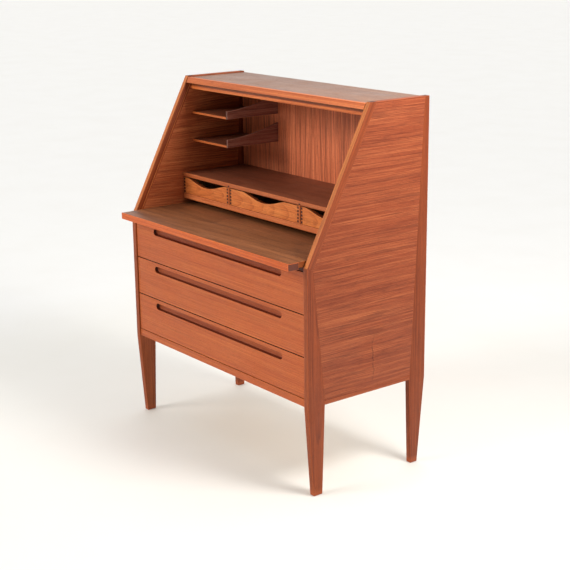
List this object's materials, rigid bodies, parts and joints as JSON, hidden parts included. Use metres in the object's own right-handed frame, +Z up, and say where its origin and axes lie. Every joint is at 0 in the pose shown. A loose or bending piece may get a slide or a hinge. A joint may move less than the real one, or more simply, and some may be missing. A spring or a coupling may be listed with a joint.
{
  "type": "secretary desk",
  "caption": "Slant-front teak secretary desk on tapered legs, with a sliding writing flap, large and small drawers and letter trays",
  "frame": {"origin": "centre of the bounding box's bottom face, flap overhang included, on the floor", "axes": "+X to the right of a person facing the desk, -Y towards that person, +Z up"},
  "size_m": [0.9, 0.496, 1.102],
  "materials": {
    "solid_teak": "oiled, satin",
    "teak_veneer": "oiled veneer, satin",
    "top_veneer": "oiled veneer with a pale sheen",
    "inner_teak": "oiled, satin",
    "writing_surface": "oiled veneer, satin",
    "drawer_front_teak": "oiled, satin",
    "drawer_wood": "bare, matt",
    "pin_brass": "dull"
  },
  "bodies": {
    "case": {"front_leg_left": "solid_teak", "front_leg_right": "solid_teak", "slant_stile_left": "solid_teak", "slant_stile_right": "solid_teak", "rear_leg_left": "solid_teak", "rear_leg_right": "solid_teak", "side_rail_left": "solid_teak", "side_rail_right": "solid_teak", "side_panel_left": "teak_veneer", "side_panel_right": "teak_veneer", "top_board": "top_veneer", "top_lipping": "solid_teak", "flap_stop_rail": "solid_teak", "back_panel": "inner_teak", "front_rail": "solid_teak", "case_bottom": "drawer_wood", "dust_board": "drawer_wood", "flap_runner_left": "inner_teak", "flap_runner_right": "inner_teak", "drawer_bottom_runner_left": "inner_teak", "drawer_bottom_runner_right": "inner_teak", "drawer_middle_runner_left": "inner_teak", "drawer_middle_runner_right": "inner_teak", "drawer_top_runner_left": "inner_teak", "drawer_top_runner_right": "inner_teak", "cabinet_base": "teak_veneer", "cabinet_shelf": "teak_veneer", "cabinet_divider_left": "teak_veneer", "cabinet_divider_right": "teak_veneer", "tray_lower": "inner_teak", "tray_upper": "inner_teak", "tray_lip_lower": "inner_teak", "tray_lip_upper": "inner_teak"},
    "flap": {"flap_panel": "writing_surface", "flap_lipping": "solid_teak", "flap_pin_left": "pin_brass", "flap_pin_right": "pin_brass"},
    "drawer_bottom": {"drawer_bottom_front": "drawer_front_teak", "drawer_bottom_side_left": "drawer_wood", "drawer_bottom_side_right": "drawer_wood", "drawer_bottom_back": "drawer_wood", "drawer_bottom_floor": "drawer_wood"},
    "drawer_middle": {"drawer_middle_front": "drawer_front_teak", "drawer_middle_side_left": "drawer_wood", "drawer_middle_side_right": "drawer_wood", "drawer_middle_back": "drawer_wood", "drawer_middle_floor": "drawer_wood"},
    "drawer_top": {"drawer_top_front": "drawer_front_teak", "drawer_top_side_left": "drawer_wood", "drawer_top_side_right": "drawer_wood", "drawer_top_back": "drawer_wood", "drawer_top_floor": "drawer_wood"},
    "small_drawer_left": {"small_drawer_left_front": "drawer_front_teak", "small_drawer_left_box": "drawer_wood"},
    "small_drawer_centre": {"small_drawer_centre_front": "drawer_front_teak", "small_drawer_centre_box": "drawer_wood"},
    "small_drawer_right": {"small_drawer_right_front": "drawer_front_teak", "small_drawer_right_box": "drawer_wood"}
  },
  "joints": [
    {"name": "flap_slide", "type": "slide", "parent": "case", "child": "flap", "axis": [0, -1, 0], "range_m": [0, 0.385]},
    {"name": "drawer_top_slide", "type": "slide", "parent": "case", "child": "drawer_top", "axis": [0, -1, 0], "range_m": [0, 0.3]},
    {"name": "drawer_middle_slide", "type": "slide", "parent": "case", "child": "drawer_middle", "axis": [0, -1, 0], "range_m": [0, 0.3]},
    {"name": "drawer_bottom_slide", "type": "slide", "parent": "case", "child": "drawer_bottom", "axis": [0, -1, 0], "range_m": [0, 0.3]},
    {"name": "small_drawer_left_slide", "type": "slide", "parent": "case", "child": "small_drawer_left", "axis": [0, -1, 0], "range_m": [0, 0.18]},
    {"name": "small_drawer_centre_slide", "type": "slide", "parent": "case", "child": "small_drawer_centre", "axis": [0, -1, 0], "range_m": [0, 0.18]},
    {"name": "small_drawer_right_slide", "type": "slide", "parent": "case", "child": "small_drawer_right", "axis": [0, -1, 0], "range_m": [0, 0.18]}
  ]
}
